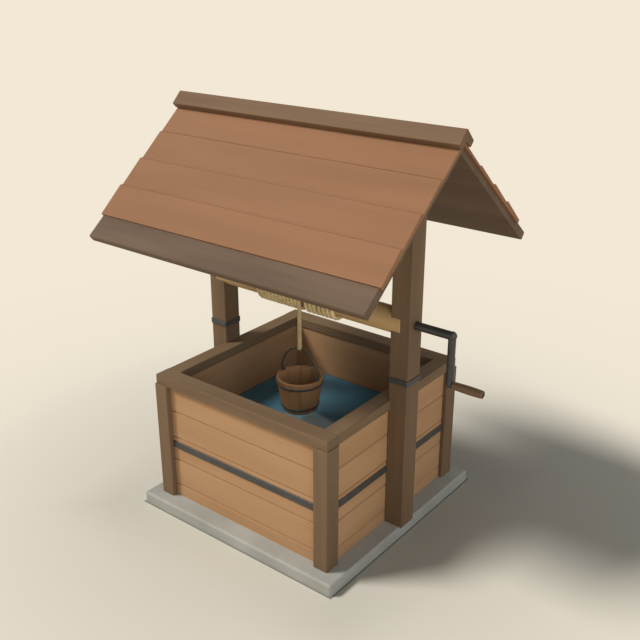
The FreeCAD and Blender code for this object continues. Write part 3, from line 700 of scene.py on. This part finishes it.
boards = {axis: planed_wood("oiled_pine_" + "xyz"[axis], axis, band_mm=18, figure=0.09, roughness=0.75, edge=0.0006,
                            by_board=log_of_each_board, **PINE) for axis in (X, Y)}
lining = {axis: planed_wood("lining_ply_" + "xyz"[axis], axis, band_mm=26, figure=0.08, roughness=0.68, **PANEL)
          for axis in (X, Y)}
print("wall woods:", [material.name for material in (*boards.values(), *lining.values())])

# %% [markdown]
# The other woods differ in how they were worked. The roof boards are sawn red cedar
# under a thin glaze, even and nearly matt, with the grain along the ridge. The drum is
# turned beech: pale, fine and smooth from the lathe. The bucket is oak that was planed
# and then wetted and dried many times, so its figure is faint. Its base is a darker
# copy of the same oak, painted shade, with a stronger figure. The grip is ash,
# darkened and polished by hands.

# %% Roof, drum, bucket and grip woods
# The fourth colour of each is laid along the edges: partly wear, partly a painted highlight
cedar = planed_wood("glazed_cedar", X, "#885D3E", "#926644", "#996C4A", "#AA815C", band_mm=16, figure=0.08,
                    roughness=0.68)
drum_wood = planed_wood("turned_beech", X, "#AC8759", "#C7A06C", "#D9B37E", "#E8C292", band_mm=11, figure=0.15,
                        roughness=0.5)
bucket_oak = planed_wood("weathered_oak", Z, "#785334", "#9D7149", "#B28358", "#D5A270", band_mm=9, figure=0.07,
                         pore=0.12, roughness=0.62, relief=0.12)
# The base: a darker copy of the same oak, painted shade, with a stronger figure
shaded_base_oak = planed_wood("oak_base_painted_shade", X, "#6A4A30", "#8F6645", "#A67C54", "#BF9265", band_mm=9, figure=0.45)
grip_ash = planed_wood("handled_ash", X, "#664F3A", "#816649", "#967859", "#BB9A71", band_mm=8, figure=0.4,
                       roughness=0.42)
print("other woods:", [material.name for material in (cedar, drum_wood, bucket_oak, shaded_base_oak, grip_ash)])

# %% [markdown]
# ## Stone and iron
# The slab is cast concrete: grey with a warm tinge, cloudy where it dried unevenly,
# with sand grains that show as specks and small pits left by air. It is matt, but its
# smooth skin of cement still takes a broad, soft sheen from a low light. Sand grains
# are under a millimetre wide, and they are drawn 2.2 mm wide so that they show.

# %% Cast stone
CLOUD_MM = 160
SAND_MM = 2.2
PIT_MM = 17


def cast_stone():
    """Cast concrete: clouds, sand specks, pits, and chalky edges."""
    material, tree, output = new_material("cast_concrete")
    place = add(tree, "TexCoord").outputs["Object"]
    clouds = add(tree, "TexNoise", {"Vector": place, "Scale": 1000 / CLOUD_MM, "Detail": 4.0, "Roughness": 0.6})
    sand = add(tree, "TexNoise", {"Vector": place, "Scale": 1000 / SAND_MM, "Detail": 2.0})
    pits = add(tree, "TexVoronoi", {"Vector": place, "Scale": 1000 / PIT_MM, "Randomness": 1.0})
    cloudy = add(tree, "MapRange", {"Value": clouds.outputs["Fac"], "From Min": 0.3, "From Max": 0.7})
    speck = add(tree, "MapRange", {"Value": sand.outputs["Fac"], "From Min": 0.60, "From Max": 0.72, "To Max": 0.35})
    normal, edge_band = edge_mask(tree, 0.003, clouds.outputs["Fac"])
    chalky = add(tree, "Math", {0: edge_band, 1: 0.5}, operation="MULTIPLY")
    layers = [(cloudy.outputs["Result"], "#AAA69A"), (speck.outputs["Result"], "#76726A"),
              (chalky.outputs["Value"], "#BDB8AB")]
    hole = add(tree, "MapRange", {"Value": pits.outputs["Distance"], "From Min": 0.03, "From Max": 0.11})
    grain = add(tree, "Math", {0: sand.outputs["Fac"], 1: 0.3}, operation="MULTIPLY")
    height = add(tree, "Math", {0: hole.outputs["Result"], 1: grain.outputs["Value"]}, operation="ADD")
    bump = add(tree, "Bump", {"Height": height.outputs["Value"], "Strength": 0.35, "Distance": 0.0006,
                              "Normal": normal})
    shader = add(tree, "BsdfPrincipled", {"Base Color": laid_over(tree, linear("#959286"), layers), "Roughness": 0.85,
                                          "Specular IOR Level": 0.9, "Normal": bump.outputs["Normal"]})
    tree.links.new(shader.outputs["BSDF"], output.inputs["Surface"])
    return material


stone = cast_stone()
print("stone:", stone.name)

# %% [markdown]
# The iron is forged strip and bar under a thin black paint: half matt, slightly uneven
# from the hammer, dusty on the high spots, and rubbed to bare metal in a few places
# along its edges. The paint isn't a metal and the bare places are, so the same mask
# drives the colour and the metallic value. The bucket's hoops are browner, from water.
# The hidden screws and bolts are steel under bright zinc, whose crystals differ in
# their gloss.

# %% Painted iron and plated steel
PAINT_GRAIN_MM = 0.9
ZINC_CRYSTAL_MM = 1.5
IRON_DUST = "#56534F"
BARE_IRON = "#8B8781"


def painted_iron(name, paint, roughness, hammer_mm):
    """Black paint over forged iron. hammer_mm is how far apart the hammer marks are."""
    material, tree, output = new_material(name)
    place = add(tree, "TexCoord").outputs["Object"]
    dents = add(tree, "TexNoise", {"Vector": place, "Scale": 1000 / hammer_mm, "Detail": 1.0})
    grain = add(tree, "TexNoise", {"Vector": place, "Scale": 1000 / PAINT_GRAIN_MM, "Detail": 2.0})
    normal, edge_band = edge_mask(tree, 0.0009, dents.outputs["Fac"])
    edge_share = add(tree, "MapRange", {"Value": edge_band, "From Min": 0.45, "From Max": 0.85, "To Max": 0.5})
    dusty = add(tree, "MapRange", {"Value": dents.outputs["Fac"], "From Min": 0.4, "From Max": 0.7, "To Max": 0.25})
    base = laid_over(tree, linear(paint), [(dusty.outputs["Result"], IRON_DUST), (edge_share.outputs["Result"], BARE_IRON)])
    height = add(tree, "Mix", {0: 0.3, 2: dents.outputs["Fac"], 3: grain.outputs["Fac"]})
    bump = add(tree, "Bump", {"Height": height.outputs[0], "Strength": 0.3, "Distance": 0.0006, "Normal": normal})
    rough = add(tree, "MapRange", {"Value": grain.outputs["Fac"], "To Min": roughness - 0.1, "To Max": roughness + 0.1})
    shader = add(tree, "BsdfPrincipled", {"Base Color": base, "Metallic": edge_share.outputs["Result"],
                                          "Roughness": rough.outputs["Result"], "Normal": bump.outputs["Normal"]})
    tree.links.new(shader.outputs["BSDF"], output.inputs["Surface"])
    return material


def zinc_steel():
    """Zinc plated steel: grey, with faint crystals."""
    material, tree, output = new_material("zinc_plated_steel")
    place = add(tree, "TexCoord").outputs["Object"]
    flakes = add(tree, "TexVoronoi", {"Vector": place, "Scale": 1000 / ZINC_CRYSTAL_MM})
    rough = add(tree, "MapRange", {"Value": flakes.outputs["Distance"], "To Min": 0.3, "To Max": 0.5})
    shader = add(tree, "BsdfPrincipled", {"Base Color": linear("#9A9C9E"), "Metallic": 1.0,
                                          "Roughness": rough.outputs["Result"]})
    tree.links.new(shader.outputs["BSDF"], output.inputs["Surface"])
    return material


strap_iron = painted_iron("painted_strap_iron", "#3D3A37", 0.5, 14)
bar_iron = painted_iron("painted_bar_iron", "#363531", 0.42, 9)
hoop_iron = painted_iron("painted_hoop_iron", "#474037", 0.5, 14)
steel = zinc_steel()
print("metals:", [material.name for material in (strap_iron, bar_iron, hoop_iron, steel)])

# %% [markdown]
# ## Rope and water
# The rope is manila: straw-coloured plant fibre with a dry, fuzzy surface, so it has
# no gloss but a faint sheen where the fuzz is seen from the side. Its fibres are finer
# than the render can show, so they are drawn about a millimetre wide. The turns on the
# drum get a paler copy of the colours, painted light against the shade under the roof,
# and the fall near the water keeps the plain, duller colours.

# %% Manila
MANILA_FIBRE_MM = 1.2
MANILA_PATCH_MM = 35


def manila(name, dull, pale, shadow):
    """Laid manila rope. shadow is the colour between its fibres."""
    material, tree, output = new_material(name)
    place = add(tree, "TexCoord").outputs["Object"]
    fibres = add(tree, "TexNoise", {"Vector": place, "Scale": 1000 / MANILA_FIBRE_MM, "Detail": 4.0,
                                    "Roughness": 0.7})
    patches = add(tree, "TexNoise", {"Vector": place, "Scale": 1000 / MANILA_PATCH_MM, "Detail": 2.0})
    tone = add(tree, "MapRange", {"Value": patches.outputs["Fac"], "From Min": 0.3, "From Max": 0.7})
    shade = add(tree, "MapRange", {"Value": fibres.outputs["Fac"], "From Min": 0.35, "From Max": 0.6, "To Min": 0.4,
                                   "To Max": 0.0})
    base = laid_over(tree, linear(dull), [(tone.outputs["Result"], pale), (shade.outputs["Result"], shadow)])
    bump = add(tree, "Bump", {"Height": fibres.outputs["Fac"], "Strength": 0.25, "Distance": 0.0005})
    shader = add(tree, "BsdfPrincipled", {"Base Color": base, "Roughness": 0.85, "Sheen Weight": 0.15,
                                          "Sheen Roughness": 0.5, "Normal": bump.outputs["Normal"]})
    tree.links.new(shader.outputs["BSDF"], output.inputs["Surface"])
    return material


rope_fibre = manila("manila_rope", "#C2A570", "#E3C591", "#9D8150")
# A paler copy for the turns on the drum: painted light against the shade under the roof
painted_light_rope = manila("manila_rope_painted_light", "#DBBF86", "#FBE0AB", "#B59962")
print("ropes:", rope_fibre.name, painted_light_rope.name)

# %% [markdown]
# The water sheet is acrylic, coloured blue all through and polished. Its gloss is set to
# that of water, so most of what the eye reads on it is a reflection of the walls and the
# sky, which fine dimples in the polish make a little unsteady.

# %% The water sheet
DRIFT_MM = 110
DIMPLE_MM = 20


def wet_sheet():
    """Polished blue acrylic that stands in for water."""
    material, tree, output = new_material("blue_water_sheet")
    place = add(tree, "TexCoord").outputs["Object"]
    drift = add(tree, "TexNoise", {"Vector": place, "Scale": 1000 / DRIFT_MM, "Detail": 2.0})
    depth = add(tree, "MapRange", {"Value": drift.outputs["Fac"], "From Min": 0.3, "From Max": 0.7})
    base = laid_over(tree, linear("#457384"), [(depth.outputs["Result"], "#4D8091")])
    fine = add(tree, "TexNoise", {"Vector": place, "Scale": 1000 / DIMPLE_MM, "Detail": 2.0})
    bump = add(tree, "Bump", {"Height": fine.outputs["Fac"], "Strength": 0.12, "Distance": 0.001})
    rough = add(tree, "MapRange", {"Value": fine.outputs["Fac"], "To Min": 0.05, "To Max": 0.16})
    shader = add(tree, "BsdfPrincipled", {"Base Color": base, "IOR": 1.33, "Roughness": rough.outputs["Result"],
                                          "Normal": bump.outputs["Normal"]})
    tree.links.new(shader.outputs["BSDF"], output.inputs["Surface"])
    return material


sheet_finish = wet_sheet()
print("water sheet:", sheet_finish.name)

# %% [markdown]
# ## Finish the CAD pieces
# Every visible CAD node gets the finish of what it is made from, with its grain along
# its length: up a post, along a rail or a board. The boards on the left and right
# walls were cut along the other axis than the front ones.

# %% Give every CAD node its finish
FINISHES = {}
for side, axis in (("front", X), ("back", X), ("left", Y), ("right", Y)):
    FINISHES["boards_" + side] = boards[axis]
    FINISHES["lining_" + side] = lining[axis]
    FINISHES["cap_rail_" + side] = stained[axis]

# The other nodes, by the start of their names; a later row wins over an earlier one
FINISH_BY_START = (
    ("corner_post", stained[Z]), ("roof_post", stained[Z]), ("ledger", stained[X]), ("ridge", ridge_bar_wood),
    ("deck", deck_panel), ("course", cedar), ("windlass_drum", drum_wood), ("crank", bar_iron),
    ("crank_grip", grip_ash), ("bucket_staves", bucket_oak), ("bucket_base", shaded_base_oak), ("bucket_bail", bar_iron),
    ("bucket_ears", bar_iron), ("hoop", hoop_iron), ("strap", strap_iron), ("collar", strap_iron),
    ("cap_screws", steel), ("roof_screws", steel), ("post_bolts", steel), ("axle_stub", steel),
    ("cross_pins", steel), ("rope", rope_fibre), ("plinth_slab", stone), ("water_panel", sheet_finish),
)
for name in NODES:
    for start, finish in FINISH_BY_START:
        if name.startswith(start):
            FINISHES[name] = finish

for name, node in NODES.items():
    for finish_slot in node.material_slots:
        finish_slot.material = FINISHES[name]
print("finished", len(FINISHES), "nodes, left", sorted(set(NODES) - set(FINISHES)))

# %% [markdown]
# The new pieces take the same finishes, stand for the CAD nodes that they replace and
# ride on the bodies that carry them. The rope's fall also takes a finish and stands for
# its CAD node, but rides on no body.

# %% Fit the new pieces
NEW_PIECES = (
    # piece, body that carries it, node it replaces, slot, finish
    (working_rope, "windlass", "rope_winding", "rope", painted_light_rope),
    (spare_rope, "windlass", "rope_spare", "rope", painted_light_rope),
    (end_core, "hoist", "rope_end", "rope", rope_fibre),
    (end_twine, "hoist", "rope_end", "rope", rope_fibre),
    (bucket_wood, "bucket", "bucket_staves", "bucket_wood", bucket_oak),
    (upper_hoop, "bucket", "hoop_upper", "black_iron", hoop_iron),
    (upper_rivets, "bucket", "hoop_upper", "black_iron", hoop_iron),
    (lower_hoop, "bucket", "hoop_lower", "black_iron", hoop_iron),
    (lower_rivets, "bucket", "hoop_lower", "black_iron", hoop_iron),
    (water, "well", "water_panel", "water_sheet", sheet_finish),
)
for piece, body, node, slot, material in NEW_PIECES:
    piece.data.materials.append(material)
    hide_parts(node)
    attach(piece, body)

hanging_rope.data.materials.append(rope_fibre)
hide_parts("rope_fall")
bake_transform(hanging_rope)

print("fitted", len(NEW_PIECES) + 1, "new pieces")

# %% [markdown]
# ## Floor, light and background
# The floor is a plain pale sheet, as a studio rolls out. It takes the well's shadow
# near the slab. Its colour is painted darker near the well and paler outwards, as a
# painted shade and a painted light, and it fades into the room's own colour further
# out, so that no horizon shows. The fade is only for the rays that show the background,
# so it adds no light to the well. A soft darker band round the slab is painted shade,
# and a thin dark line at its foot is a painted contact shadow.

# %% Lay the floor
FLOOR_COLOUR = "#F2E8D5"
# Painted shade near the well, and painted light further out
FLOOR_NEAR_SHADED = "#E6DFCE"
FLOOR_OUTER_LIT = "#FDF3DF"
FLOOR_SIZE = 60.0
SLAB_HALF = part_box("plinth_slab")[1].x
# A soft band of painted shade round the slab: how wide it is and how much darker
SHADE_WIDTH = 0.22
SHADE_DEPTH = 0.12
# A thin dark line of painted contact shadow at the slab's foot
CONTACT_SHADOW_WIDTH = 0.0035
CONTACT_SHADOW_DEPTH = 0.6
# Distances from the well's middle, in metres, between which each change takes place
NEAR_TO_OUTER = (0.50, 1.0)
FADE_TO_ROOM = (0.87, 1.3)
GLOW_RISES = (1.2, 2.0)
GLOW_LOW = 0.965


def rays_that_show(tree):
    """1 for the rays that show the background: camera, mirror and glass rays."""
    ray = add(tree, "LightPath")
    seen = add(tree, "Math", {0: ray.outputs["Is Camera Ray"], 1: ray.outputs["Is Glossy Ray"]}, operation="MAXIMUM")
    seen = add(tree, "Math", {0: seen.outputs["Value"], 1: ray.outputs["Is Transmission Ray"]}, operation="MAXIMUM")
    return seen.outputs["Value"]


def pale_floor():
    """A plain floor, painted darker near the well and paler outwards, with painted shade round the slab, that then
    fades into the background.
    """
    material, tree, output = new_material("pale_floor")
    place = add(tree, "TexCoord").outputs["Object"]
    away = add(tree, "VectorMath", {0: place}, operation="LENGTH").outputs["Value"]
    # From the painted shade near the well to the painted light further out
    further = add(tree, "MapRange", {"Value": away, "From Min": NEAR_TO_OUTER[0], "From Max": NEAR_TO_OUTER[1]})
    base = laid_over(tree, linear(FLOOR_NEAR_SHADED), [(further.outputs["Result"], FLOOR_OUTER_LIT)])
    across = add(tree, "SeparateXYZ", {"Vector": place})
    sideways = [add(tree, "Math", {0: across.outputs[way]}, operation="ABSOLUTE").outputs["Value"] for way in "XY"]
    square = add(tree, "Math", {0: sideways[0], 1: sideways[1]}, operation="MAXIMUM").outputs["Value"]
    # Painted shade: a soft darker band round the slab
    shaded = add(tree, "MapRange", {"Value": square, "From Min": SLAB_HALF, "From Max": SLAB_HALF + SHADE_WIDTH,
                                    "To Min": 1.0 - SHADE_DEPTH}, interpolation_type="SMOOTHSTEP")
    # Painted contact shadow: a thin dark line at the slab's foot
    contact_shadow = add(tree, "Math", {0: square, 1: SLAB_HALF + CONTACT_SHADOW_WIDTH}, operation="GREATER_THAN").outputs["Value"]
    contact_shadow = add(tree, "MapRange", {"Value": contact_shadow, "To Min": 1.0 - CONTACT_SHADOW_DEPTH})
    deeper = add(tree, "Math", {0: shaded.outputs["Result"], 1: contact_shadow.outputs["Result"]}, operation="MULTIPLY")
    base = add(tree, "VectorMath", {0: base, "Scale": deeper.outputs["Value"]}, operation="SCALE")
    lit = add(tree, "BsdfDiffuse", {"Color": base.outputs["Vector"]})
    glow = add(tree, "MapRange", {"Value": away, "From Min": GLOW_RISES[0], "From Max": GLOW_RISES[1],
                                  "To Min": GLOW_LOW})
    plain = add(tree, "Emission", {"Color": linear(FLOOR_COLOUR), "Strength": glow.outputs["Result"]})
    fading = add(tree, "MapRange", {"Value": away, "From Min": FADE_TO_ROOM[0], "From Max": FADE_TO_ROOM[1]},
                 interpolation_type="SMOOTHSTEP")
    shown = add(tree, "Math", {0: fading.outputs["Result"], 1: rays_that_show(tree)}, operation="MULTIPLY")
    both = add(tree, "MixShader", {0: shown.outputs["Value"], 1: lit.outputs["BSDF"], 2: plain.outputs["Emission"]})
    tree.links.new(both.outputs["Shader"], output.inputs["Surface"])
    return material


half = FLOOR_SIZE / 2
corners = [(-half, -half, 0), (half, -half, 0), (half, half, 0), (-half, half, 0)]
floor_mesh = bpy.data.meshes.new("floor")
floor_mesh.from_pydata(corners, [], [(0, 1, 2, 3)])
floor = bpy.data.objects.new("floor", floor_mesh)
floor.data.materials.append(pale_floor())
bpy.context.collection.objects.link(floor)
print("floor", FLOOR_SIZE, "m across")

# %% [markdown]
# The photograph was taken in a pale studio, with a key lamp high up at the front left
# and a weaker, cooler light from the right that keeps the shaded walls readable. Both
# are suns with a wide disc: the wider the disc, the softer the shadow's edge. A studio
# hangs a black flag under a side lamp to keep its light off the floor, and light linking
# does the same here, so that the key lamp's shadow stays deep beside the slab. The
# camera and reflections see the room as bright as the floor, but it sheds less light.

# %% Light it
LAMPS = (
    # name, the way its light goes, strength, width of its disc in degrees, colour, lights the floor
    ("key_lamp", Vector((0.65, 0.60, -1.0)), 2.60, 16.0, "#FFFFFF", True),
    ("fill_lamp", Vector((-0.88, 0.45, -0.28)), 1.34, 60.0, "#E6F2FF", False),
)
ROOM_LIGHT = 0.228
ROOM_COLOUR = "#F3F9FF"

for name, way, strength, disc, colour, lights_floor in LAMPS:
    lamp_data = bpy.data.lights.new(name, "SUN")
    lamp_data.energy = strength
    lamp_data.angle = math.radians(disc)
    lamp_data.color = linear(colour)[:3]
    lamp = bpy.data.objects.new(name, lamp_data)
    lamp.rotation_euler = way.to_track_quat("-Z", "Y").to_euler()
    bpy.context.collection.objects.link(lamp)
    if not lights_floor:
        flag = bpy.data.collections.new("kept_off_the_floor")
        flag.objects.link(floor)
        lamp.light_linking.receiver_collection = flag
        flag.collection_objects[0].light_linking.link_state = "EXCLUDE"

room = bpy.data.worlds.new("pale_room")
bpy.context.scene.world = room
room.use_nodes = True
tree = room.node_tree
tree.nodes.clear()
shed = add(tree, "Background", {"Color": linear(ROOM_COLOUR), "Strength": ROOM_LIGHT})
shown = add(tree, "Background", {"Color": linear(FLOOR_COLOUR), "Strength": 1.0})
both = add(tree, "MixShader", {0: rays_that_show(tree), 1: shed.outputs["Background"], 2: shown.outputs["Background"]})
add(tree, "OutputWorld", {"Surface": both.outputs["Shader"]})
bpy.context.scene.view_settings.view_transform = "Standard"
print("lamps", [lamp[0] for lamp in LAMPS], "room light", ROOM_LIGHT)
